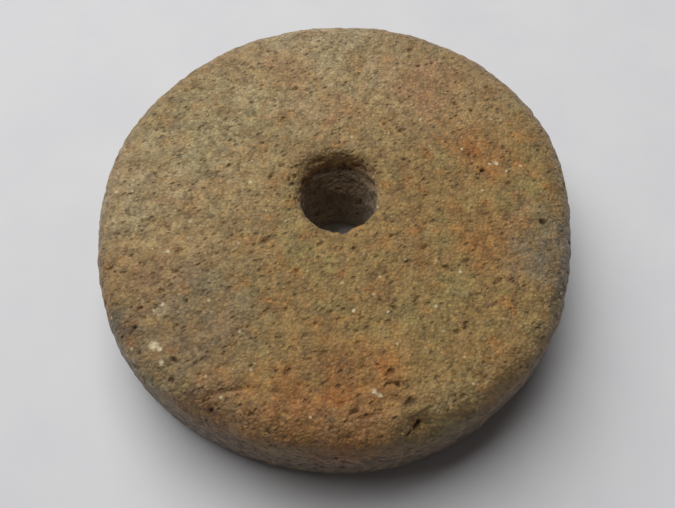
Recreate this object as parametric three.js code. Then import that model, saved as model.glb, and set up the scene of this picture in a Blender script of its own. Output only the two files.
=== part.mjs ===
// A stone spindle whorl: one thick, hand-ground disc with a hole drilled through its middle.
// Lengths are in millimetres and angles in degrees. +Z is up, and the whorl lies on its underside
// at z = 0, with the middle of its outline on the origin. Bearings turn from +X towards +Y.

import * as THREE from "three";
import { mergeVertices } from "three/addons/utils/BufferGeometryUtils.js";

// The disc
const MEAN_RADIUS = 25;
const THICKNESS = 11.3;
const UPPER_EDGE_ROUND = 2.9; // worn edge between the upper face and the side
const LOWER_EDGE_ROUND = 2.5; // worn edge between the side and the underside
const SIDE_SWELL = 0.3; // how far the side bulges at half its height
const CROWN_FALL = 0.15; // how much lower the upper face is at its rim than at the hole
const SEAT_WIDTH = 3; // level ring round the hole, on which a spindle's shoulder bears

// The hole, drilled from both faces, so it is narrowest at half its depth
const BORE_RADIUS = 3.6;
const BORE_FLARE = 0.15; // how much wider the bore is just inside each mouth
const BORE_AT_X = 0.3; // the bore's axis, from the middle of the outline
const BORE_AT_Y = -0.3;
const UPPER_LIP = 0.5; // worn lip of the hole on the upper face
const LOWER_LIP = 0.9; // worn lip of the hole on the underside
const MOUTH_WEAR = 1; // how far the upper mouth is worn back, along +Y
const MOUTH_WEAR_DEPTH = 5; // how deep into the hole that wear reaches

// The outline isn't a true circle: each lobe swells it this far, this many times round,
// first at the bearing of its peak.
const LOBES = [
  { waves: 2, swell: 0.62, peak: 78 },
  { waves: 3, swell: 0.1, peak: 57 },
  { waves: 4, swell: 0.22, peak: 42 },
  { waves: 5, swell: 0.08, peak: 15 },
  { waves: 6, swell: 0.06, peak: 34 },
  { waves: 7, swell: 0.09, peak: 14 },
];

// Worn hollows and chips in the upper face and its edge. out is the distance from the hole's axis
// as a share of the mean radius, and below is how far the middle lies under the upper face.
const HOLLOWS = [
  { name: "by the crack", bearing: -39, out: 0.58, below: 0, reach: 3.2, depth: 0.15 },
  { name: "scrape on the left", bearing: -118, out: 0.64, below: 0, reach: 3.0, depth: 0.14 },
  { name: "worn edge on the left", bearing: -141, out: 0.92, below: 0.8, reach: 3.2, depth: 0.35 },
  { name: "broken edge on the left", bearing: -116, out: 0.98, below: 1.5, reach: 3.2, depth: 0.5 },
  { name: "chip in the front edge", bearing: -73, out: 0.96, below: 1.2, reach: 2.4, depth: 0.6 },
];

// How finely the surface is cut
const SEGMENTS = 108; // round the disc
const EDGE_STEPS = 6; // along each worn outer edge
const LIP_STEPS = 4; // along each lip of the hole
const FACE_STEPS = 8; // across the upper face
const UNDERSIDE_STEPS = 4;
const WALL_STEPS = 5; // down the side, and down the bore

const MERGE_WITHIN = 1e-4; // the two ends of the turned ring meet within this

const STONE_COLOUR = 0x86704d;
const STONE_ROUGHNESS = 0.9;

const QUARTER = Math.PI / 2;

// A round edge can't be larger than what the thickness leaves for it.
const MOST_EDGE_ROUND = 0.45 * THICKNESS;
const upperEdge = Math.min(UPPER_EDGE_ROUND, MOST_EDGE_ROUND);
const lowerEdge = Math.min(LOWER_EDGE_ROUND, MOST_EDGE_ROUND);
const upperLip = Math.min(UPPER_LIP, MOST_EDGE_ROUND);
const lowerLip = Math.min(LOWER_LIP, MOST_EDGE_ROUND);

const lipRadius = BORE_RADIUS + BORE_FLARE; // of the bore where each lip begins
const seatInner = lipRadius + upperLip;
const seatOuter = seatInner + SEAT_WIDTH;
const faceOuter = MEAN_RADIUS - upperEdge;
const undersideInner = lipRadius + lowerLip;
const undersideOuter = MEAN_RADIUS - lowerEdge;
const faceRimZ = THICKNESS - CROWN_FALL;
const upperLipZ = THICKNESS - upperLip; // where the bore ends and its upper lip begins

// Points of a quarter round about (r, z), from one angle to the other.
function quarterRound(r, z, width, height, from, to, steps) {
  const points = [];
  for (let i = 0; i <= steps; i++) {
    const angle = from + ((to - from) * i) / steps;
    points.push(new THREE.Vector2(r + width * Math.cos(angle), z + height * Math.sin(angle)));
  }
  return points;
}

// The points between two radii or heights, without its two ends.
function between(steps, pointAt) {
  const points = [];
  for (let i = 1; i < steps; i++) points.push(pointAt(i / steps));
  return points;
}

// A point of the rim, pushed out by the side's bulge, which fades out at both faces.
function bulged(point) {
  return new THREE.Vector2(point.x + SIDE_SWELL * Math.sin((Math.PI * point.y) / faceRimZ), point.y);
}

// The section through one side of the ring, closed on itself: x is the distance from the hole's
// axis and y the height. It runs outwards along the underside, up the side and back to the hole.
function ringSection() {
  const mix = THREE.MathUtils.lerp;
  const upperEdgeZ = faceRimZ - upperEdge; // where the side ends and the upper edge begins
  const underside = [
    new THREE.Vector2(undersideInner, 0),
    ...between(UNDERSIDE_STEPS, (t) => new THREE.Vector2(mix(undersideInner, undersideOuter, t), 0)),
  ];
  const lowerRound = quarterRound(
    undersideOuter, lowerEdge, lowerEdge, lowerEdge, -QUARTER, 0, EDGE_STEPS,
  );
  const side = between(WALL_STEPS, (t) => new THREE.Vector2(
    MEAN_RADIUS, mix(lowerEdge, upperEdgeZ, t),
  ));
  const upperRound = quarterRound(
    faceOuter, upperEdgeZ, upperEdge, upperEdge, 0, QUARTER, EDGE_STEPS,
  );
  const rim = [...lowerRound, ...side, ...upperRound].map(bulged);
  const face = between(FACE_STEPS, (t) => new THREE.Vector2(
    mix(faceOuter, seatOuter, t),
    THICKNESS - CROWN_FALL * (1 - t) ** 2,
  ));
  const seat = [new THREE.Vector2(seatOuter, THICKNESS)];
  const upperRoundOfBore = quarterRound(
    seatInner, upperLipZ, -upperLip, upperLip, QUARTER, 0, LIP_STEPS,
  );
  const bore = between(WALL_STEPS, (t) => new THREE.Vector2(
    lipRadius - BORE_FLARE * Math.sin(Math.PI * t),
    mix(upperLipZ, lowerLip, t),
  ));
  const lowerRoundOfBore = quarterRound(
    undersideInner, lowerLip, -lowerLip, lowerLip, 0, -QUARTER, LIP_STEPS,
  );
  return [
    ...underside, ...rim, ...face, ...seat, ...upperRoundOfBore, ...bore, ...lowerRoundOfBore,
  ];
}

// How far the outline stands outside the mean radius at a bearing.
function outlineSwell(bearing) {
  return LOBES.reduce((sum, lobe) => {
    const turn = bearing - THREE.MathUtils.degToRad(lobe.peak);
    return sum + lobe.swell * Math.cos(lobe.waves * turn);
  }, 0);
}

// The middle of each hollow on the round disc, before the outline is swelled.
const hollowSpots = HOLLOWS.map((hollow) => {
  const bearing = THREE.MathUtils.degToRad(hollow.bearing);
  const out = hollow.out * MEAN_RADIUS;
  return {
    ...hollow,
    middle: new THREE.Vector3(
      out * Math.cos(bearing), out * Math.sin(bearing), THICKNESS - hollow.below,
    ),
  };
});

// How deep the hollows cut into the surface at a point.
function hollowDepth(point) {
  return hollowSpots.reduce((sum, hollow) => {
    const away = point.distanceTo(hollow.middle) / hollow.reach;
    return away < 1 ? sum + hollow.depth * (1 - away * away) ** 2 : sum;
  }, 0);
}

// Wears the turned ring by hand: hollows sink along the surface's normal, and the outline swells
// by degrees from the level ring outwards. The level ring, the lips and the bore stay round.
function wearByHand(geometry) {
  const position = geometry.getAttribute("position");
  const normal = geometry.getAttribute("normal");
  const point = new THREE.Vector3();
  const inward = new THREE.Vector3();
  for (let i = 0; i < position.count; i++) {
    point.fromBufferAttribute(position, i);
    const radius = Math.hypot(point.x, point.y);
    const bearing = Math.atan2(point.y, point.x);
    const share = THREE.MathUtils.smoothstep(radius, seatOuter, MEAN_RADIUS);
    if (radius > seatOuter && point.z > 0) {
      inward.fromBufferAttribute(normal, i).negate();
      point.addScaledVector(inward, hollowDepth(point));
    }
    const swell = outlineSwell(bearing) * share;
    point.x += swell * Math.cos(bearing);
    point.y += swell * Math.sin(bearing);
    position.setXYZ(i, point.x, point.y, point.z);
  }
}

// Puts the middle of the outline on the origin, and tells where that leaves the bore's axis.
function centreOutline(geometry) {
  geometry.computeBoundingBox();
  const middle = geometry.boundingBox.getCenter(new THREE.Vector3());
  geometry.translate(-middle.x, -middle.y, 0);
  return new THREE.Vector2(-middle.x, -middle.y);
}

// How far back the hole's mouth is worn at a point: most at its back edge, less down the hole and
// across the level ring. sideways is the sine of the point's bearing from the hole's axis.
function mouthWear(radius, sideways, z) {
  const { clamp } = THREE.MathUtils;
  const up = clamp(1 - (THICKNESS - z) / MOUTH_WEAR_DEPTH, 0, 1);
  const acrossSeat = clamp((radius - seatInner) / SEAT_WIDTH, 0, 1);
  return MOUTH_WEAR * up ** 1.5 * Math.max(0, sideways) * (1 - acrossSeat);
}

// Moves the hole and the level ring round it into place, less and less towards the outline.
function placeHole(geometry, axis) {
  const position = geometry.getAttribute("position");
  for (let i = 0; i < position.count; i++) {
    const x = position.getX(i);
    const y = position.getY(i);
    const radius = Math.hypot(x - axis.x, y - axis.y);
    const share = 1 - THREE.MathUtils.smoothstep(radius, seatOuter, faceOuter);
    const wear = mouthWear(radius, (y - axis.y) / radius, position.getZ(i));
    position.setX(i, x + (BORE_AT_X - axis.x) * share);
    position.setY(i, y + (BORE_AT_Y - axis.y) * share + wear);
  }
}

function whorlGeometry() {
  const turned = new THREE.LatheGeometry(ringSection(), SEGMENTS);
  turned.rotateX(QUARTER); // the lathe turns about Y, and the whorl's axis is Z
  wearByHand(turned);
  placeHole(turned, centreOutline(turned));
  turned.deleteAttribute("normal");
  turned.deleteAttribute("uv");
  const closed = mergeVertices(turned, MERGE_WITHIN);
  closed.computeVertexNormals();
  return closed;
}

const stone = new THREE.MeshStandardMaterial({
  color: STONE_COLOUR, roughness: STONE_ROUGHNESS, metalness: 0,
});

const whorl = new THREE.Group();
const disc = new THREE.Mesh(whorlGeometry(), stone);
disc.name = "stone_whorl";
whorl.add(disc);

export default whorl;
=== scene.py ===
"""The looks of a stone spindle whorl: a gritty, pitted disc of tan stone on pale paper.

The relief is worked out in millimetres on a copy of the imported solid, and placed in metres.
X runs to the right of the view, Y away from the camera and Z up. Bearings turn from +X to +Y.
"""

import math
from itertools import product

import bpy
import numpy as np
from mathutils import Matrix, Vector


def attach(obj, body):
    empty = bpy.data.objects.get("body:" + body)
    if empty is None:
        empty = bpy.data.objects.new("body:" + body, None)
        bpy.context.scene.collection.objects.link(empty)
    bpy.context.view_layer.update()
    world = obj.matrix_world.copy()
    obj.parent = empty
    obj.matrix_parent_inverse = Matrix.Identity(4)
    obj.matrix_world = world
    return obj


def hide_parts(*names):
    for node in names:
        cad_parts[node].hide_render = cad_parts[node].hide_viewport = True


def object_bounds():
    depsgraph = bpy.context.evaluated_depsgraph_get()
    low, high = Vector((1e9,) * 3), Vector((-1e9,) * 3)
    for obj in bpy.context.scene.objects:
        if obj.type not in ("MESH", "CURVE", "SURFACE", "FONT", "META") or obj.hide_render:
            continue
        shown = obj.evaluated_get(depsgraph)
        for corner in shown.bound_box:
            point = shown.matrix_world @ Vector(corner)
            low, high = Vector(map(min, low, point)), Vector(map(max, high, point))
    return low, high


MM = 0.001

# The camera: what it aims at, where it stands, how far off and how steeply it looks down
CAMERA_AIM = (0.18, -6.84, 11.25)
CAMERA_BEARING = -90.0
CAMERA_DISTANCE = 72.4
CAMERA_ELEVATION = 60.2
CAMERA_LENS = 40.0
CAMERA_SENSOR = 36.0
CAMERA_NEAREST = 1.0  # nothing closer than this is drawn

# A wide, tall window behind the whorl and to its left, and the room's weak light all round
WINDOW_BEARING = 121.0
WINDOW_ELEVATION = 56.0
WINDOW_DISTANCE = 700.0
WINDOW_WIDTH = 683.0
WINDOW_HEIGHT = 760.0
WINDOW_WATTS = 7.05
WINDOW_COLOUR = (1.0, 1.0, 0.995)
ROOM_COLOUR = (1.0, 0.94, 0.90)
ROOM_STRENGTH = 0.062

# The plain paper it lies on
FLOOR_SIZE = 4000.0
PAPER = (214, 214, 216)
PAPER_SHADE = (210, 210, 213)
PAPER_ROUGHNESS = 0.95
PAPER_SPECULAR = 0.1

# The fine mesh: its first, even net, how much that is smoothed, and the triangles it keeps
NET_SIZE = 0.13
SMOOTHING = 0.5
SMOOTHING_PASSES = 26
MOST_TRIANGLES = 192000

# The stone's fabric: its pores are drawn out along one bearing
FABRIC_BEARING = 33.0
FABRIC_STRETCH = 1.6

# Uneven grinding and grit, as (size of one bump, height above or below the ground face)
SWELLS = [(9.0, 0.07), (3.6, 0.07), (1.6, 0.06)]
GRIT = [(0.85, 0.065), (0.45, 0.055)]

# Pores, as (spacing, smallest radius, largest radius, share of places that hold one, depth)
PORES = [
    (0.9, 0.13, 0.24, 0.85, 0.20),
    (2.0, 0.20, 0.38, 0.75, 0.30),
    (5.0, 0.32, 0.55, 0.35, 0.40),
]
PORE_WALL = 0.7  # under 1, so that the wall of a pore is steep
PORE_CROWD = 5.0  # the size of the areas where pores lie closer together or farther apart
PORE_CROWDING = 0.6  # how much closer or farther
PORE_BEND = 0.5  # the length of the bends in a ragged pore
PORE_RAGGEDNESS = 0.13  # how far they bend

UNDERSIDE_SHARE = 0.5  # how strong the underside's relief is, beside the rest
UNDERSIDE_FACING = -0.7  # what faces down more than this belongs to the underside

# The hole's mouth, whose lip has crumbled all round and is worn most at the back
MOUTH_AT = (0.3, 0.2)
MOUTH_RADIUS = 3.9  # the wear is full as far out as this
LIP_REACH = 2.1  # how much farther out it ends
LIP_FADE = 3.5  # the height over which it grows to the full, up the hole's wall
LIP_CRUMBLE = [(1.1, 0.24), (0.5, 0.18)]  # (size of one crumbled spot, depth)
LIP_DROP = 0.08  # how far down the lip is worn in front
LIP_DROP_BACK = 0.75  # and at the back
LIP_RETREAT = 0.85  # how far outwards it is worn at the back

# The upper edge, where wear has left lumps and hollows
EDGE_FROM = 20.0  # they begin this far out
EDGE_FULL = 22.5
EDGE_FADE = 1.5  # the height over which they grow to the full, up the side
EDGE_LEAST = 0.25  # how strong they are away from the front
EDGE_LUMPS = [(2.4, 0.14), (1.1, 0.09)]  # (size of one lump, height)

# In front the upper edge is crisper, so fuller than the solid's true round
CRISP_BEARING = -90.0
CRISP_FULLNESS = 0.32

# The named marks, and the wear of the lip and the edge, are all above this height
MARKS_ABOVE = 6.5
MARK_BEND = 0.45  # the length of the bends in a mark's ragged rim
MARK_RAGGEDNESS = 0.22  # how far they bend

# Marks, as (name, x, y, half length, half width, bearing of the length, depth)
MARKS = [
    ("chip in the front edge", 7.1, -23.3, 0.52, 0.24, 48, 0.42),
    ("hollow beside the chip", 6.2, -23.9, 0.50, 0.24, 30, 0.30),
    ("smear right of the chip", 8.5, -21.9, 0.60, 0.20, 25, 0.12),
    ("pit above the front edge", 5.5, -20.0, 0.30, 0.24, 60, 0.40),
    ("pit in the front", 1.6, -22.5, 0.45, 0.20, 32, 0.35),
    ("small pit in the front", 4.0, -22.3, 0.30, 0.16, 20, 0.25),
    ("crack's near end", 8.9, -7.9, 0.55, 0.11, -5, 0.22),
    ("crack's far end", 10.4, -8.3, 0.75, 0.13, -14, 0.28),
    ("cluster in front, left", 11.1, -14.9, 0.42, 0.28, 20, 0.30),
    ("cluster in front, right", 11.9, -14.4, 0.46, 0.26, 50, 0.34),
    ("pit right of the hole", 15.2, 3.0, 0.40, 0.22, 35, 0.45),
    ("pit nearer than that", 14.4, 2.1, 0.30, 0.18, 20, 0.28),
    ("pit at the right edge", 20.6, -3.1, 0.36, 0.24, 10, 0.45),
    ("pit far right", 14.8, 11.2, 0.32, 0.20, 40, 0.38),
    ("grey pit far right", 13.1, 12.2, 0.40, 0.30, 60, 0.26),
    ("grey pit farther back", 10.9, 18.1, 0.40, 0.24, 40, 0.26),
    ("grey pit at the back", 8.3, 19.0, 0.44, 0.30, 80, 0.26),
    ("pit at the back", -2.2, 20.5, 0.36, 0.18, 30, 0.30),
    ("pit behind the hole, left", -5.6, 11.9, 0.36, 0.16, 45, 0.30),
    ("pit in front of the hole", 5.5, -4.8, 0.30, 0.20, 30, 0.32),
    ("pit on the left", -14.0, -11.8, 0.22, 0.17, 0, 0.32),
    ("pit in the left edge", -18.1, -12.5, 0.38, 0.18, 30, 0.30),
    ("sooty pit in the left edge", -18.6, -14.5, 0.46, 0.24, 55, 0.36),
    ("scoop in the left edge", -14.4, -17.7, 0.55, 0.28, -40, 0.34),
    ("pit under the shelf", -10.8, -21.8, 0.38, 0.22, 40, 0.30),
    ("pit at the lip, left", -4.5, 0.0, 0.28, 0.18, 20, 0.40),
    ("pit at the lip, nearer", -3.9, -0.3, 0.26, 0.18, 50, 0.35),
    ("pit at the lip, farther", -4.1, 2.3, 0.40, 0.16, 30, 0.36),
    ("pit past the lip", -4.7, 1.9, 0.24, 0.18, 30, 0.36),
    ("pit beyond the lip", -5.6, 3.7, 0.34, 0.15, -10, 0.30),
]

# Long shallow scrapes, as (name, x and y of each end, half width, depth)
SCRAPES = [
    ("scrape on the left", -9.2, -15.2, -6.2, -13.1, 0.40, 0.12),
    ("shelf's edge", -11.4, -20.9, -7.5, -20.3, 0.30, 0.20),
    ("scrape right of the shelf", -7.5, -20.3, -4.2, -20.9, 0.30, 0.09),
    ("line in the front edge", 0.5, -23.5, 4.6, -22.5, 0.20, 0.12),
]
SCRAPE_BEND = 0.8  # the length of the stretches where a scrape is wider or narrower
SCRAPE_RAGGEDNESS = 0.35  # how much wider or narrower, as a share

# Seeds of the noises. A noise of several layers also uses the numbers just after its own.
SWELL_SEED = 11
GRIT_SEED = 21
LUMP_SEED = 31
MARK_SEED = 61
CRUMBLE_SEED = 65
SCRAPE_SEED = 71
BEND_SEED = 81
PORE_SEED = 101
PORE_SEED_STEP = 20

# Each noise's grid is turned and tipped, so that it lies along no face
GRID_TURN = 23.0  # in degrees about Z
GRID_TURN_STEP = 31.0  # more for each seed
GRID_TIP_ALONG = (0.21, -0.17)  # how far X and Y lean with the height
GRID_TIP_ACROSS = (0.13, 0.25)  # how far Z leans with X and Y

# Large numbers that scatter whole numbers well
HASH_AXES = (73856093, 19349663, 83492791)
HASH_SEED = 7919
HASH_START = 1013
HASH_STEPS = ((16, 2246822519), (13, 3266489917))
HASH_LAST_SHIFT = 16

# Stone colours, as they would be painted flat, from 0 to 255
TAN = (141, 112, 65)
# Painted light: a paler tan for the parts the window lights more strongly
PAINTED_LIGHT_TAN = (178, 157, 120)
PALE_OLIVE = (160, 150, 112)
OLIVE = (139, 124, 76)
RUST = (160, 95, 34)
BRICK = (152, 94, 60)
# Painted shade: a darker brown for the front of the face near its edge
UMBER_PAINTED_SHADE = (122, 84, 46)
GREY = (116, 105, 88)
# Painted shade: the purple-grey cast of the shaded side
SIDE_PAINTED_SHADE_GREY = (116, 96, 82)
SOOT = (62, 58, 56)
# Pale dust, and also painted light on the rims and the side that the window lights more
DUST_AND_PAINTED_LIGHT = (172, 158, 124)
# Painted shade: the dark brown painted into the pits
PORE = (58, 35, 12)
QUARTZ = (214, 200, 162)
DARK_GRAIN = (86, 66, 40)
# Painted shade: the dark brown of the hole's far lip, which turns away from the window
LIP_PAINTED_SHADE = (98, 73, 44)

STONE_ROUGHNESS = 0.62
STONE_SPECULAR = 0.24
STONE_SHEEN = 0.15  # the soft veil of fine dust, strongest where the surface turns away
STONE_SHEEN_ROUGHNESS = 0.5

# Soft patches, as (size, detail, roughness, noise that gives least, that gives most, least, most)
OLIVE_PATCHES = (6.0, 4.0, 0.65, 0.42, 0.66, 0.0, 0.6)
RUSTY_PATCHES = (2.2, 5.0, 0.7, 0.48, 0.70, 0.0, 0.45)
STAIN_PATCHES = (1.5, 4.0, 0.7, 0.32, 0.62, 0.3, 1.0)
GREY_PATCHES = (3.0, 4.0, 0.6, 0.3, 0.65, 0.35, 1.0)
CLUMPS = (1.2, 5.0, 0.75, 0.34, 0.66, 0.74, 1.26)
# The side's specks are partly the grains' own tones and partly painted light and shade
SIDE_GRAIN_TONES_AND_LIGHT = (0.7, 3.0, 0.7, 0.42, 0.60, 0.66, 1.38)
PAPER_PATCHES = (12.0, 3.0, 0.6, 0.3, 0.7, 0.0, 1.0)

# Packed grains of sand, whose shades are shares of the colour
GRAIN_SIZE = 0.36
GRAIN_BEND = 0.4  # the length of the bends in a grain's ragged rim
GRAIN_RAGGEDNESS = 0.05  # how far they bend
GRAIN_SHADES = (0.86, 1.14)
# Painted light and shade: a grain's middle a little lighter, and the gap between two grains darker
GRAIN_MIDDLE_PAINTED_LIGHT = 1.02
GRAIN_GAP_PAINTED_SHADE = 0.88  # between two grains
GRAIN_GAP = (0.40, 0.70)  # where the gap begins and where it is full, as shares of the size
DARK_GRAIN_CHANCE = (0.06, 0.04)  # below the second a grain is a dark one
DARK_GRAIN_MOST = 0.5

# Pits that are finer than the mesh, and the painted shade in all pits
SMALL_PIT_SPACING = 0.55
SMALL_PIT_BEND = 0.35
SMALL_PIT_RAGGEDNESS = 0.07
SMALL_PIT_REACH = (0.18, 0.42)  # from a pit's middle, as shares of the spacing
SMALL_PIT_EDGE = (0.2, 1.2)  # where it begins to fade and where it ends, as shares of its reach
SMALL_PIT_CHANCE = (0.30, 0.50)  # below the first a place has no pit, above the second a full one
SHADE_PAINTED_IN_SMALL_PITS = 0.40
SHADE_PAINTED_IN_PITS = 0.70
DEPTHS_OF_PAINTED_PIT_SHADE = (0.03, 0.40)  # where painted shade begins in a modelled pit, and where there is most

# Quartz grains, with their reach, edge and chance given as for the small pits
QUARTZ_SPACING = 0.62
QUARTZ_REACH = (0.10, 0.30)
QUARTZ_EDGE = (0.4, 1.3)
QUARTZ_CHANCE = (0.91, 0.97)
QUARTZ_MOST = 0.6

# Bump in the material: its height in all, and the share of each thing that raises or sinks it
GRAIN_HEIGHT = 0.145
UNEVEN_SHARE = 0.45  # one grain stands higher than the next
ROUND_SHARE = 0.7  # a grain falls away from its middle
FINE_SHARE = 0.6  # dust and chips that are finer than a grain
FINE_SIZE = 0.22
SMALL_PIT_SHARE = 0.8

# Grey on the worn edge, painted shade on the side and specks on it, each from where it begins to
# where it is full
# The edge's grey is partly dust and partly a painted sheen
EDGE_DUST_AND_SHEEN_OUT = (20.5, 25.0)
EDGE_DUST_AND_SHEEN_MOST = 0.30
# The side's grey is painted shade
SIDE_OUT = (20.0, 23.0)
SIDE_PAINTED_SHADE_HEIGHTS = (8.5, 5.5)
SIDE_PAINTED_SHADE_MOST = 0.7
SIDE_SPECK_HEIGHTS = (9.0, 7.0)

# Stained zones, and zones of painted light and shade, as (name, colour, x, y, z, radius, strength)
ZONES = [
    # Painted light: the next six zones make the back, the left and their rims paler, as the
    # window's light and sheen do
    ("back, painted light", PAINTED_LIGHT_TAN, -2.0, 18.0, 11.0, 16.0, 0.50),
    ("back rim, painted light", DUST_AND_PAINTED_LIGHT, -2.0, 24.0, 10.0, 10.0, 0.45),
    ("left, painted light", PAINTED_LIGHT_TAN, -16.0, -1.0, 11.0, 12.5, 0.36),
    ("back right, painted light", PAINTED_LIGHT_TAN, 13.0, 14.0, 11.0, 9.0, 0.30),
    ("left rim, painted light", DUST_AND_PAINTED_LIGHT, -22.0, 2.0, 9.5, 9.0, 0.40),
    ("left side in front, painted light", DUST_AND_PAINTED_LIGHT, -14.0, -20.5, 5.0, 6.5, 0.40),
    ("grey in front, left", GREY, -13.5, -14.0, 10.8, 8.5, 0.50),
    ("rust on the left", RUST, -18.6, -9.6, 10.5, 5.0, 0.14),
    ("rust in front", RUST, 2.4, -18.8, 10.8, 5.5, 0.42),
    # Painted shade: the next zone darkens the front of the face, near its edge, in brown
    ("front, painted brown shade", UMBER_PAINTED_SHADE, -1.5, -21.6, 10.8, 5.5, 0.72),
    ("rust on the front shoulder", RUST, 0.5, -24.2, 9.0, 5.5, 0.50),
    ("rust in front, left", RUST, -5.0, -22.3, 10.0, 4.5, 0.50),
    ("rust spot in front", RUST, 0.4, -20.8, 11.1, 1.5, 0.5),
    ("rust spot in front, right", RUST, 4.8, -18.5, 11.1, 1.9, 0.45),
    ("rust spot at the back right", RUST, 14.3, 6.0, 11.1, 1.8, 0.4),
    ("rust spot on the right", RUST, 16.2, 3.2, 11.1, 1.5, 0.4),
    ("rust spot at the back left", RUST, -16.8, 7.1, 11.1, 1.9, 0.35),
    ("rust behind the right", RUST, 14.7, 5.9, 11.0, 4.0, 0.45),
    ("rust on the right", RUST, 14.1, -5.5, 11.0, 5.0, 0.35),
    ("rust at the back", RUST, -5.2, 16.9, 11.0, 3.5, 0.30),
    ("rust behind the hole", RUST, 1.0, 11.4, 11.0, 3.5, 0.25),
    ("brick at the back right", BRICK, 10.5, 15.0, 11.0, 5.5, 0.45),
    ("brick at the front left", BRICK, -10.4, -21.4, 9.0, 4.5, 0.45),
    ("olive at the back left", PALE_OLIVE, -13.5, 9.5, 11.0, 9.0, 0.55),
    ("olive by the crack", OLIVE, 11.7, -9.6, 11.0, 2.4, 0.6),
    ("olive at the front right", OLIVE, 9.5, -18.5, 10.5, 5.0, 0.3),
    ("grey at the right edge", GREY, 21.8, -6.5, 9.5, 6.5, 0.9),
    ("soot on the left edge", SOOT, -20.4, -13.4, 9.0, 1.5, 0.65),
    ("soot on the edge, farther", SOOT, -20.5, -13.1, 10.3, 1.3, 0.6),
    ("soot on the edge, nearer", SOOT, -19.9, -14.5, 10.0, 1.2, 0.45),
    ("grey under the left edge", GREY, -18.8, -16.2, 8.6, 1.9, 0.5),
    ("soot in the edge's pit", SOOT, -18.6, -14.5, 10.5, 0.8, 0.5),
    # Painted shade: the next four zones darken the hole's far lip and rim, which turn away from the
    # window
    ("lip at the back, painted shade", LIP_PAINTED_SHADE, 0.3, 5.2, 10.8, 1.8, 0.45),
    ("lip back left, painted shade", LIP_PAINTED_SHADE, -3.0, 4.5, 10.8, 1.9, 0.6),
    ("rim back left, painted shade", LIP_PAINTED_SHADE, -2.6, 5.9, 11.0, 1.4, 0.5),
    ("lip back right, painted shade", LIP_PAINTED_SHADE, 3.2, 4.1, 10.8, 1.6, 0.5),
    ("pale patch on the left", DUST_AND_PAINTED_LIGHT, -16.2, -12.7, 11.0, 0.9, 0.6),
]
ZONE_BEND = 2.2  # the length of the bends in a zone's ragged outline
ZONE_RAGGEDNESS = 1.8  # how far they bend
ZONE_EDGE = (0.35, 1.15)  # where it begins to fade and where it ends, as shares of its radius
SMALL_ZONE = 2.0  # a zone of a smaller radius keeps its own place and outline

# The hole's wall in painted light and shade, tones as (height where one begins, height where it is
# full, colour)
HOLE_EDGE = (4.6, 5.6)  # how far out the tones begin to fade, and where they end
HOLE_WALL_PAINTED_TONES = [
    (11.0, 10.4, (180, 145, 102)),
    (10.1, 9.1, (126, 106, 82)),
    (7.2, 4.8, (144, 128, 104)),
]

# Pale grains that stand out on the upper face, as (x, y, radius)
PALE_GRAIN_MOST = 0.85
PALE_GRAIN_EDGE = (0.2, 1.5)  # where one begins to fade and where it ends, in its radii
PALE_GRAIN_BEND = 0.3
PALE_GRAIN_RAGGEDNESS = 0.08
PALE_GRAINS_ABOVE = 7.0
PALE_GRAINS = [
    (-16.5, -16.2, 0.46),
    (-15.9, -16.6, 0.26),
    (-15.6, -17.9, 0.22),
    (-16.9, -12.7, 0.16),
    (-16.1, -12.2, 0.20),
    (3.4, -20.7, 0.26),
    (3.9, -21.0, 0.20),
    (1.7, -12.9, 0.16),
    (11.9, -8.7, 0.16),
    (16.6, 4.0, 0.26),
    (15.9, 3.9, 0.18),
    (17.6, 3.0, 0.14),
    (13.2, 5.8, 0.14),
    (-16.2, -6.5, 0.20),
    (-8.7, 1.6, 0.16),
]


# Noise on points in millimetres

def hashed(cells, seed):
    """A repeatable number from 0 to 1 for each row of whole numbers."""
    x, y, z = (cells[:, k].astype(np.uint32) * np.uint32(HASH_AXES[k]) for k in range(3))
    mixed = x ^ y ^ z ^ np.uint32(seed * HASH_SEED + HASH_START)
    for shift, factor in HASH_STEPS:
        mixed ^= mixed >> np.uint32(shift)
        mixed *= np.uint32(factor)
    mixed ^= mixed >> np.uint32(HASH_LAST_SHIFT)
    return mixed / 2.0**32


def on_grid(points, seed):
    """The points as the turned and tipped grid of one noise has them."""
    a = math.radians(GRID_TURN + GRID_TURN_STEP * seed)
    turn = np.array([
        [math.cos(a), -math.sin(a), GRID_TIP_ALONG[0]],
        [math.sin(a), math.cos(a), GRID_TIP_ALONG[1]],
        [*GRID_TIP_ACROSS, 1],
    ])
    return points @ turn.T


def noise(points, size, seed):
    """Smooth noise from -1 to 1, with bumps about `size` across."""
    places = on_grid(points, seed) / size
    cell = np.floor(places)
    part = places - cell
    part = part * part * (3 - 2 * part)
    total = np.zeros(len(points))
    for corner in product((0, 1), repeat=3):
        weight = np.prod(np.where(corner, part, 1 - part), axis=1)
        total += weight * hashed(cell.astype(np.int64) + corner, seed)
    return 2 * total - 1


def layered(points, layers, seed):
    """The sum of several noises, given as (size, swing)."""
    return sum(swing * noise(points, size, seed + k) for k, (size, swing) in enumerate(layers))


def along_fabric(points):
    """The points in the stone's own fabric, where a drawn-out pore is round."""
    a = math.radians(FABRIC_BEARING)
    along = points[:, 0] * math.cos(a) + points[:, 1] * math.sin(a)
    across = points[:, 1] * math.cos(a) - points[:, 0] * math.sin(a)
    return np.column_stack([along / FABRIC_STRETCH, across, points[:, 2]])


# The relief, as depths in millimetres below the ground face

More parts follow.
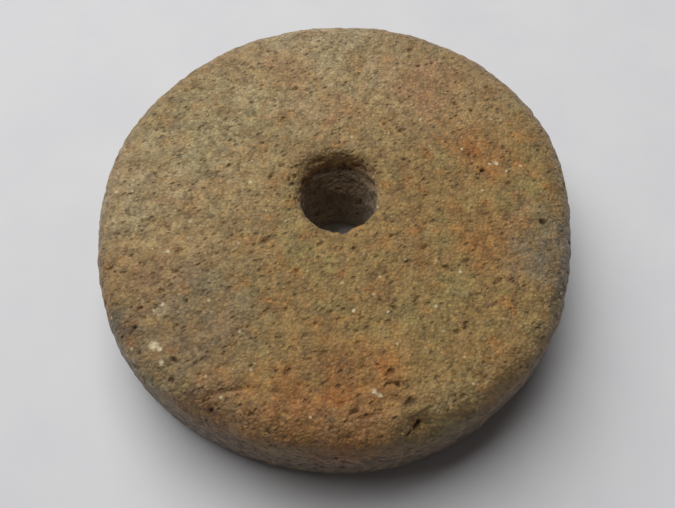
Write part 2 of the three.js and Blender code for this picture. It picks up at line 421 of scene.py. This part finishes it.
def pore_depth(points, places, layer, seed):
    """How deep the pores of one layer cut in. `places` are the points in the ragged fabric."""
    # The first three seeds place a pore, the next sizes it, and the next decides if it is there.
    spacing, smallest, largest, share, depth = layer
    crowding = 1 + PORE_CROWDING * noise(points, PORE_CROWD, seed + 7)
    home = np.floor(places / spacing).astype(np.int64)
    deepest = np.zeros(len(points))
    for step in product((-1, 0, 1), repeat=3):
        cell = home + step
        middle = cell + np.column_stack([hashed(cell, seed + k) for k in range(3)])
        radius = smallest + (largest - smallest) * hashed(cell, seed + 3) ** 2
        holds = hashed(cell, seed + 4) < share * crowding
        away = np.linalg.norm(places - middle * spacing, axis=1) / radius
        inside = np.where(holds, np.clip(1 - away**2, 0, 1), 0)
        deepest = np.maximum(deepest, depth * (radius / largest) * inside**PORE_WALL)
    return deepest


def all_pores(points):
    """How deep the pores of all layers cut in at each point."""
    bends = np.column_stack([noise(points, PORE_BEND, BEND_SEED + k) for k in range(3)])
    places = along_fabric(points) + PORE_RAGGEDNESS * bends
    layers = [
        pore_depth(points, places, layer, PORE_SEED + PORE_SEED_STEP * k)
        for k, layer in enumerate(PORES)
    ]
    return np.max(layers, axis=0)


def mark_depth(points):
    """How deep the named marks cut into the upper face at each point."""
    ragged_x = points[:, 0] + MARK_RAGGEDNESS * noise(points, MARK_BEND, MARK_SEED)
    ragged_y = points[:, 1] + MARK_RAGGEDNESS * noise(points, MARK_BEND, MARK_SEED + 1)
    deepest = np.zeros(len(points))
    for _, x, y, half_length, half_width, bearing, depth in MARKS:
        a = math.radians(bearing)
        dx = ragged_x - x
        dy = ragged_y - y
        along = (dx * math.cos(a) + dy * math.sin(a)) / half_length
        across = (dy * math.cos(a) - dx * math.sin(a)) / half_width
        inside = np.clip(1 - along**2 - across**2, 0, 1)
        deepest = np.maximum(deepest, depth * inside)
    return deepest


def lip_share(points):
    """1 at the hole's mouth, fading outwards over the face and down the hole's wall."""
    out = np.hypot(points[:, 0] - MOUTH_AT[0], points[:, 1] - MOUTH_AT[1])
    share = np.clip(1 - (out - MOUTH_RADIUS) / LIP_REACH, 0, 1)
    return share * np.clip((points[:, 2] - MARKS_ABOVE) / LIP_FADE, 0, 1)


def lip_crumble(points):
    """How far the hole's lip has crumbled away at each point."""
    return lip_share(points) * np.maximum(layered(points, LIP_CRUMBLE, CRUMBLE_SEED), 0)


def lip_wear(points):
    """The way each point of the hole's lip is worn, outwards and down: most at the back."""
    from_axis = points[:, :2] - MOUTH_AT
    outward = from_axis / np.linalg.norm(from_axis, axis=1, keepdims=True)
    back = ((1 + outward[:, 1]) / 2) ** 2
    share = lip_share(points)
    down = share**2 * (LIP_DROP + (LIP_DROP_BACK - LIP_DROP) * back)
    return np.column_stack([outward * (LIP_RETREAT * back * share)[:, None], -down])


def crisp_edge(points, normals):
    """How much fuller the upper edge is at each point: most where it slants by half."""
    bearings = np.arctan2(points[:, 1], points[:, 0])
    towards = np.clip(np.cos(bearings - math.radians(CRISP_BEARING)), 0, 1)
    far_out = np.hypot(points[:, 0], points[:, 1]) > EDGE_FROM
    slant = 4 * normals[:, 2] ** 2 * (1 - normals[:, 2] ** 2)
    return CRISP_FULLNESS * towards * slant * far_out


def edge_lumps(points):
    """The height of the lumps and hollows round the upper edge at each point: most in front."""
    out = np.hypot(points[:, 0], points[:, 1])
    share = np.clip((out - EDGE_FROM) / (EDGE_FULL - EDGE_FROM), 0, 1)
    share *= np.clip(-points[:, 1] / EDGE_FROM, EDGE_LEAST, 1)
    fade = np.clip((points[:, 2] - MARKS_ABOVE) / EDGE_FADE, 0, 1)
    return share * fade * layered(points, EDGE_LUMPS, LUMP_SEED)


def scrape_depth(points):
    """How deep the long scrapes cut into the upper face at each point."""
    wobble = 1 + SCRAPE_RAGGEDNESS * noise(points, SCRAPE_BEND, SCRAPE_SEED)
    deepest = np.zeros(len(points))
    for _, x1, y1, x2, y2, half_width, depth in SCRAPES:
        start = np.array([x1, y1])
        run = np.array([x2, y2]) - start
        share = np.clip((points[:, :2] - start) @ run / (run @ run), 0, 1)
        nearest = start + share[:, None] * run
        away = np.linalg.norm(points[:, :2] - nearest, axis=1) / half_width
        deepest = np.maximum(deepest, depth * np.clip(1 - away * wobble, 0, 1))
    return deepest


def relief(points, normals):
    """The height of the worn, gritty skin at each point, and the depth of the pits in it."""
    height = layered(points, SWELLS, SWELL_SEED) + layered(points, GRIT, GRIT_SEED)
    pits = all_pores(points)
    upper = points[:, 2] > MARKS_ABOVE
    pits[upper] = np.maximum(pits[upper], mark_depth(points[upper]))
    height[upper] -= scrape_depth(points[upper]) + lip_crumble(points[upper])
    height[upper] += edge_lumps(points[upper]) + crisp_edge(points[upper], normals[upper])
    strength = np.where(normals[:, 2] < UNDERSIDE_FACING, UNDERSIDE_SHARE, 1.0)
    return (height - pits) * strength, pits


# The fine mesh

def net_of(solid, size):
    """An even, smoothed net over a copy of the solid, with its vertices in millimetres."""
    mesh = solid.data.copy()
    mesh.materials.clear()
    mesh.transform(solid.matrix_world)
    mesh.transform(Matrix.Scale(1 / MM, 4))
    piece = bpy.data.objects.new("whorl_relief", mesh)
    bpy.context.scene.collection.objects.link(piece)
    remesh = piece.modifiers.new("net", "REMESH")
    remesh.mode = "VOXEL"
    remesh.voxel_size = size
    smooth = piece.modifiers.new("smooth", "SMOOTH")
    smooth.factor = SMOOTHING
    smooth.iterations = SMOOTHING_PASSES
    bake_modifiers(piece)
    return piece


def bake_modifiers(piece):
    """Makes what the modifiers show the piece's own mesh."""
    graph = bpy.context.evaluated_depsgraph_get()
    made = bpy.data.meshes.new_from_object(piece.evaluated_get(graph))
    piece.modifiers.clear()
    piece.data = made


def read_vectors(items, key):
    """One row of three numbers for each item."""
    values = np.empty(len(items) * 3, dtype=np.float32)
    items.foreach_get(key, values)
    return values.reshape(-1, 3).astype(float)


def carve(piece):
    """Moves the net's vertices by the relief. The underside's grit stays on the table."""
    mesh = piece.data
    points = read_vectors(mesh.vertices, "co")
    normals = read_vectors(mesh.vertex_normals, "vector")
    height, pits = relief(points, normals)
    moved = points + normals * height[:, None] + lip_wear(points)
    moved[:, 2] = np.maximum(moved[:, 2], 0)
    mesh.vertices.foreach_set("co", moved.astype(np.float32).ravel())
    store(mesh, "pit", pits)
    mesh.update()


def store(mesh, name, values):
    """Keeps one number per vertex with the mesh, for its material."""
    attribute = mesh.attributes.new(name, "FLOAT", "POINT")
    attribute.data.foreach_set("value", values.astype(np.float32))


def thin_out(piece, most):
    """Keeps the triangles where the relief needs them, and no more than `most` in all."""
    mesh = piece.data
    triangles = sum(len(face.vertices) - 2 for face in mesh.polygons)
    if triangles > most:
        decimate = piece.modifiers.new("thin out", "DECIMATE")
        decimate.ratio = most / triangles
        bake_modifiers(piece)


def make_whorl(solid):
    """The worn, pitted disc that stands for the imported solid."""
    piece = net_of(solid, NET_SIZE)
    carve(piece)
    thin_out(piece, MOST_TRIANGLES)
    piece.data.transform(Matrix.Scale(MM, 4))
    piece.data.shade_smooth()
    piece.data.materials.append(stone_material())
    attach(piece, "root")
    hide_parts("stone_whorl")


# Materials

def linear(colour):
    """A colour from 0 to 255 as the shader's linear values."""
    parts = [part / 255 for part in colour]
    return [p / 12.92 if p <= 0.04045 else ((p + 0.055) / 1.055) ** 2.4 for p in parts] + [1.0]


class Sheet:
    """A material's node tree, built up by short calls that give back output sockets."""

    def __init__(self, name):
        self.material = bpy.data.materials.new(name)
        self.material.use_nodes = True
        self.tree = self.material.node_tree
        self.shader = self.tree.nodes["Principled BSDF"]

    def node(self, kind, settings=None, **inputs):
        """A new node. An input is given by its name, or by n and its number."""
        made = self.tree.nodes.new(kind)
        for key, value in (settings or {}).items():
            setattr(made, key, value)
        for key, value in inputs.items():
            numbered = key[0] == "n" and key[1:].isdigit()
            self.feed(made.inputs[int(key[1:]) if numbered else key], value)
        return made

    def feed(self, socket, value):
        """Links an output to a socket, or sets the socket to a plain value."""
        if isinstance(value, bpy.types.NodeSocket):
            self.tree.links.new(value, socket)
        else:
            socket.default_value = value

    def math(self, operation, a, b=0.0):
        made = self.node("ShaderNodeMath", {"operation": operation}, n0=a, n1=b)
        return made.outputs[0]

    def vector(self, operation, a, b):
        made = self.node("ShaderNodeVectorMath", {"operation": operation}, n0=a, n1=b)
        return made.outputs["Value" if operation == "DISTANCE" else "Vector"]

    def mix(self, share, a, b, blend="MIX"):
        settings = {"data_type": "RGBA", "blend_type": blend}
        made = self.node("ShaderNodeMix", settings, Factor=share, n6=a, n7=b)
        return made.outputs[2]

    def span(self, value, low, high, to_low=0.0, to_high=1.0):
        """A smooth step from `to_low` to `to_high`, as the value goes from low to high."""
        made = self.node(
            "ShaderNodeMapRange", {"interpolation_type": "SMOOTHSTEP"},
            n0=value, n1=low, n2=high, n3=to_low, n4=to_high,
        )
        return made.outputs[0]

    def noise(self, place, size, detail=2.0, roughness=0.5):
        made = self.node(
            "ShaderNodeTexNoise", Vector=place, Scale=1 / size, Detail=detail, Roughness=roughness,
        )
        return made.outputs[0]

    def patches(self, place, look):
        """Soft patches, as one row of the table of them gives their look."""
        size, detail, roughness, low, high, least, most = look
        return self.span(self.noise(place, size, detail, roughness), low, high, least, most)

    def ragged(self, place, size, reach):
        """The place shifted by up to about `reach` either way, with bends about `size` long."""
        made = self.node("ShaderNodeTexNoise", Vector=place, Scale=1 / size, Detail=3.0)
        shift = self.vector("SUBTRACT", made.outputs["Color"], (0.5,) * 3)
        times = 4 * reach  # as the noise swings by about a quarter
        return self.vector("ADD", place, self.vector("MULTIPLY", shift, (times,) * 3))

    def shaded(self, colour, shade):
        """The colour made darker or lighter by a share."""
        grey = self.node("ShaderNodeCombineXYZ", X=shade, Y=shade, Z=shade).outputs[0]
        return self.mix(1.0, colour, grey, "MULTIPLY")

    def cells(self, place, size):
        """Cells about `size` across: the distance from a middle, and three chance numbers."""
        made = self.node("ShaderNodeTexVoronoi", Vector=place, Scale=1 / size)
        chances = self.node("ShaderNodeSeparateColor", Color=made.outputs["Color"])
        return made.outputs["Distance"], *chances.outputs[:3]

    def place(self):
        """The surface's own place, in millimetres."""
        metres = self.node("ShaderNodeTexCoord").outputs["Object"]
        return self.vector("MULTIPLY", metres, (1 / MM,) * 3)


def stone_material():
    sheet = Sheet("tan_stone")
    place = sheet.place()
    grains = sand_grains(sheet, place)
    pits = small_pits(sheet, place)
    colour = ground_colour(sheet, place)
    colour = stained_and_light_painted(sheet, place, colour)
    colour = edge_sheen_and_side_shade_painted(sheet, place, colour)
    colour = hole_wall_light_and_shade_painted(sheet, place, colour)
    colour = grained(sheet, place, colour, grains)
    colour = side_grains_toned_and_lit(sheet, place, colour)
    colour = quartz_added(sheet, place, colour)
    colour = pale_grains_added(sheet, place, colour)
    colour = pits_shade_painted(sheet, colour, pits)
    sheet.feed(sheet.shader.inputs["Base Color"], colour)
    sheet.shader.inputs["Roughness"].default_value = STONE_ROUGHNESS
    sheet.shader.inputs["Specular IOR Level"].default_value = STONE_SPECULAR
    sheet.shader.inputs["Sheen Weight"].default_value = STONE_SHEEN
    sheet.shader.inputs["Sheen Roughness"].default_value = STONE_SHEEN_ROUGHNESS
    sheet.feed(sheet.shader.inputs["Normal"], grain_bump(sheet, place, grains, pits))
    return sheet.material


def sand_grains(sheet, place):
    """Packed sand grains: the distance from each one's middle, and its chance numbers."""
    ragged = sheet.ragged(place, GRAIN_BEND, GRAIN_RAGGEDNESS)
    away, height, shade, kind = sheet.cells(ragged, GRAIN_SIZE)
    return {"away": away, "height": height, "shade": shade, "kind": kind}


def small_pits(sheet, place):
    """Pits finer than the mesh, drawn out along the fabric: 1 in their middles, 0 outside."""
    turn = sheet.node("ShaderNodeMapping", {"vector_type": "TEXTURE"})
    ragged = sheet.ragged(place, SMALL_PIT_BEND, SMALL_PIT_RAGGEDNESS)
    sheet.feed(turn.inputs["Vector"], ragged)
    turn.inputs["Rotation"].default_value = (0, 0, math.radians(FABRIC_BEARING))
    turn.inputs["Scale"].default_value = (FABRIC_STRETCH, 1, 1)
    away, size, chance, _ = sheet.cells(turn.outputs[0], SMALL_PIT_SPACING)
    reach = sheet.span(size, 0.0, 1.0, *SMALL_PIT_REACH)
    inside = sheet.span(sheet.math("DIVIDE", away, reach), *SMALL_PIT_EDGE, 1.0, 0.0)
    return sheet.math("MULTIPLY", inside, sheet.span(chance, *SMALL_PIT_CHANCE))


def ground_colour(sheet, place):
    """Tan stone that turns olive and rusty in soft patches."""
    colour = sheet.mix(sheet.patches(place, OLIVE_PATCHES), linear(TAN), linear(OLIVE))
    return sheet.mix(sheet.patches(place, RUSTY_PATCHES), colour, linear(RUST))


def stained_and_light_painted(sheet, place, colour):
    """Named stains and painted light and shade, each with a blotchy middle, the large ones with a
    ragged edge.
    """
    warped = sheet.ragged(place, ZONE_BEND, ZONE_RAGGEDNESS)
    blotches = sheet.patches(place, STAIN_PATCHES)
    fade, end = ZONE_EDGE
    for _, stain, x, y, z, radius, strength in ZONES:
        away = sheet.vector("DISTANCE", place if radius < SMALL_ZONE else warped, (x, y, z))
        share = sheet.span(away, radius * fade, radius * end, strength, 0.0)
        colour = sheet.mix(sheet.math("MULTIPLY", share, blotches), colour, linear(stain))
    return colour


def out_and_up(sheet, place, x, y):
    """How far out a place lies from an upright line through (x, y), and its height."""
    apart = sheet.node("ShaderNodeSeparateXYZ", Vector=place)
    flat = sheet.node("ShaderNodeCombineXYZ", X=apart.outputs[0], Y=apart.outputs[1]).outputs[0]
    return sheet.vector("DISTANCE", flat, (x, y, 0.0)), apart.outputs[2]


def on_side(sheet, out, up, heights, most):
    """0 on the upper face, and `most` on the side, below the second of two heights."""
    below = sheet.span(up, *heights, 0.0, most)
    return sheet.math("MULTIPLY", below, sheet.span(out, *SIDE_OUT))


def edge_sheen_and_side_shade_painted(sheet, place, colour):
    """Greys the worn edge, partly as dust and partly as a painted sheen, and paints the side's
    shade.
    """
    out, up = out_and_up(sheet, place, 0.0, 0.0)
    edge = sheet.span(out, *EDGE_DUST_AND_SHEEN_OUT, 0.0, EDGE_DUST_AND_SHEEN_MOST)
    edge = sheet.math("MULTIPLY", edge, sheet.patches(place, GREY_PATCHES))
    colour = sheet.mix(edge, colour, linear(GREY))
    # Painted shade: the side turns purple-grey
    side = on_side(sheet, out, up, SIDE_PAINTED_SHADE_HEIGHTS, SIDE_PAINTED_SHADE_MOST)
    return sheet.mix(side, colour, linear(SIDE_PAINTED_SHADE_GREY))


def hole_wall_light_and_shade_painted(sheet, place, colour):
    """Painted light and shade on the hole's wall: light and warm at its mouth, darker below, greyer
    low down.
    """
    out, up = out_and_up(sheet, place, *MOUTH_AT)
    within = sheet.span(out, *HOLE_EDGE, 1.0, 0.0)
    for begins, full, tone in HOLE_WALL_PAINTED_TONES:
        share = sheet.math("MULTIPLY", within, sheet.span(up, begins, full))
        colour = sheet.mix(share, colour, linear(tone))
    return colour


def grained(sheet, place, colour, grains):
    """Clumps and grains lighter and darker than their bed, and a few dark ones."""
    grain = sheet.span(grains["shade"], 0.0, 1.0, *GRAIN_SHADES)
    # Painted shade between the grains, and a little painted light on their middles
    painted_shade_between_grains = sheet.span(grains["away"], *GRAIN_GAP, GRAIN_MIDDLE_PAINTED_LIGHT, GRAIN_GAP_PAINTED_SHADE)
    shade = sheet.math("MULTIPLY", sheet.patches(place, CLUMPS), grain)
    colour = sheet.shaded(colour, sheet.math("MULTIPLY", shade, painted_shade_between_grains))
    dark = sheet.span(grains["kind"], *DARK_GRAIN_CHANCE, 0.0, DARK_GRAIN_MOST)
    return sheet.mix(dark, colour, linear(DARK_GRAIN))


def side_grains_toned_and_lit(sheet, place, colour):
    """On the side, grains stand out lighter and darker: partly their own tones, partly painted
    light and shade.
    """
    out, up = out_and_up(sheet, place, 0.0, 0.0)
    side = on_side(sheet, out, up, SIDE_SPECK_HEIGHTS, 1.0)
    specks = sheet.patches(place, SIDE_GRAIN_TONES_AND_LIGHT)
    return sheet.mix(side, colour, sheet.shaded(colour, specks))


def quartz_added(sheet, place, colour):
    """A few pale quartz grains of many sizes."""
    away, size, chance, _ = sheet.cells(place, QUARTZ_SPACING)
    reach = sheet.span(size, 0.0, 1.0, *QUARTZ_REACH)
    quartz = sheet.span(sheet.math("DIVIDE", away, reach), *QUARTZ_EDGE, QUARTZ_MOST, 0.0)
    quartz = sheet.math("MULTIPLY", quartz, sheet.span(chance, *QUARTZ_CHANCE))
    return sheet.mix(quartz, colour, linear(QUARTZ))


def pale_grains_added(sheet, place, colour):
    """The pale grains that stand out on the upper face, each ragged."""
    ragged = sheet.ragged(place, PALE_GRAIN_BEND, PALE_GRAIN_RAGGEDNESS)
    fade, end = PALE_GRAIN_EDGE
    for x, y, radius in PALE_GRAINS:
        out, up = out_and_up(sheet, ragged, x, y)
        grain = sheet.span(out, radius * fade, radius * end, PALE_GRAIN_MOST, 0.0)
        above = sheet.span(up, PALE_GRAINS_ABOVE, PALE_GRAINS_ABOVE + 1)
        colour = sheet.mix(sheet.math("MULTIPLY", grain, above), colour, linear(QUARTZ))
    return colour


def pits_shade_painted(sheet, colour, small):
    """Painted shade in the pits: the modelled ones and the small ones."""
    pit = sheet.node("ShaderNodeAttribute", {"attribute_name": "pit"}).outputs["Fac"]
    # Painted shade: the deeper a modelled pit, the darker
    colour = sheet.mix(sheet.span(pit, *DEPTHS_OF_PAINTED_PIT_SHADE, 0.0, SHADE_PAINTED_IN_PITS), colour, linear(PORE))
    return sheet.mix(sheet.math("MULTIPLY", small, SHADE_PAINTED_IN_SMALL_PITS), colour, linear(PORE))


def grain_bump(sheet, place, grains, small):
    """The grit that is finer than the mesh: rounded grains of uneven height, and small pits."""
    fine = sheet.noise(place, FINE_SIZE)
    height = sheet.math("MULTIPLY", grains["height"], UNEVEN_SHARE)
    height = sheet.math("SUBTRACT", height, sheet.math("MULTIPLY", grains["away"], ROUND_SHARE))
    height = sheet.math("ADD", height, sheet.math("MULTIPLY", fine, FINE_SHARE))
    height = sheet.math("SUBTRACT", height, sheet.math("MULTIPLY", small, SMALL_PIT_SHARE))
    bump = sheet.node("ShaderNodeBump", Strength=1.0, Distance=GRAIN_HEIGHT * MM, Height=height)
    return bump.outputs[0]


def paper_material():
    sheet = Sheet("pale_paper")
    clouds = sheet.patches(sheet.place(), PAPER_PATCHES)
    colour = sheet.mix(clouds, linear(PAPER), linear(PAPER_SHADE))
    sheet.feed(sheet.shader.inputs["Base Color"], colour)
    sheet.shader.inputs["Roughness"].default_value = PAPER_ROUGHNESS
    sheet.shader.inputs["Specular IOR Level"].default_value = PAPER_SPECULAR
    return sheet.material


# The stage

def make_floor():
    half = FLOOR_SIZE * MM / 2
    corners = [(-half, -half, 0), (half, -half, 0), (half, half, 0), (-half, half, 0)]
    mesh = bpy.data.meshes.new("paper")
    mesh.from_pydata(corners, [], [(0, 1, 2, 3)])
    mesh.materials.append(paper_material())
    floor = bpy.data.objects.new("paper", mesh)
    bpy.context.scene.collection.objects.link(floor)


def looking_from(aim, bearing, elevation, distance):
    """Where a thing stands that looks at `aim`, and how it is turned, with distances in mm."""
    b = math.radians(bearing)
    e = math.radians(elevation)
    back = Vector((math.cos(b) * math.cos(e), math.sin(b) * math.cos(e), math.sin(e)))
    return (Vector(aim) + back * distance) * MM, (-back).to_track_quat("-Z", "Y").to_euler()


def make_camera():
    camera = bpy.data.objects.new("camera", bpy.data.cameras.new("camera"))
    camera.data.lens = CAMERA_LENS
    camera.data.sensor_width = CAMERA_SENSOR
    camera.data.clip_start = CAMERA_NEAREST * MM
    camera.location, camera.rotation_euler = looking_from(
        CAMERA_AIM, CAMERA_BEARING, CAMERA_ELEVATION, CAMERA_DISTANCE,
    )
    bpy.context.scene.collection.objects.link(camera)
    bpy.context.scene.camera = camera


def make_lights():
    light = bpy.data.objects.new("window", bpy.data.lights.new("window", "AREA"))
    light.data.shape = "RECTANGLE"
    light.data.size = WINDOW_WIDTH * MM
    light.data.size_y = WINDOW_HEIGHT * MM
    light.data.energy = WINDOW_WATTS
    light.data.color = WINDOW_COLOUR
    light.location, light.rotation_euler = looking_from(
        (0, 0, 0), WINDOW_BEARING, WINDOW_ELEVATION, WINDOW_DISTANCE,
    )
    bpy.context.scene.collection.objects.link(light)
    world = bpy.data.worlds.new("room")
    world.use_nodes = True
    background = world.node_tree.nodes["Background"]
    background.inputs["Color"].default_value = (*ROOM_COLOUR, 1.0)
    background.inputs["Strength"].default_value = ROOM_STRENGTH
    bpy.context.scene.world = world


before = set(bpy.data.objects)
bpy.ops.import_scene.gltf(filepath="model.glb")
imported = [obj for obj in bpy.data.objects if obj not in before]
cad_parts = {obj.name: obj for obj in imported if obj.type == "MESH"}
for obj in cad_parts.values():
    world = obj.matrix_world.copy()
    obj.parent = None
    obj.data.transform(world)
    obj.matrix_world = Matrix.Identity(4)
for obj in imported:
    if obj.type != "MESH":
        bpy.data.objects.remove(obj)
cad_box = [corner.copy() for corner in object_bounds()]
bpy.context.scene.view_settings.view_transform = "Standard"
make_whorl(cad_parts["stone_whorl"])
make_floor()
make_lights()
make_camera()
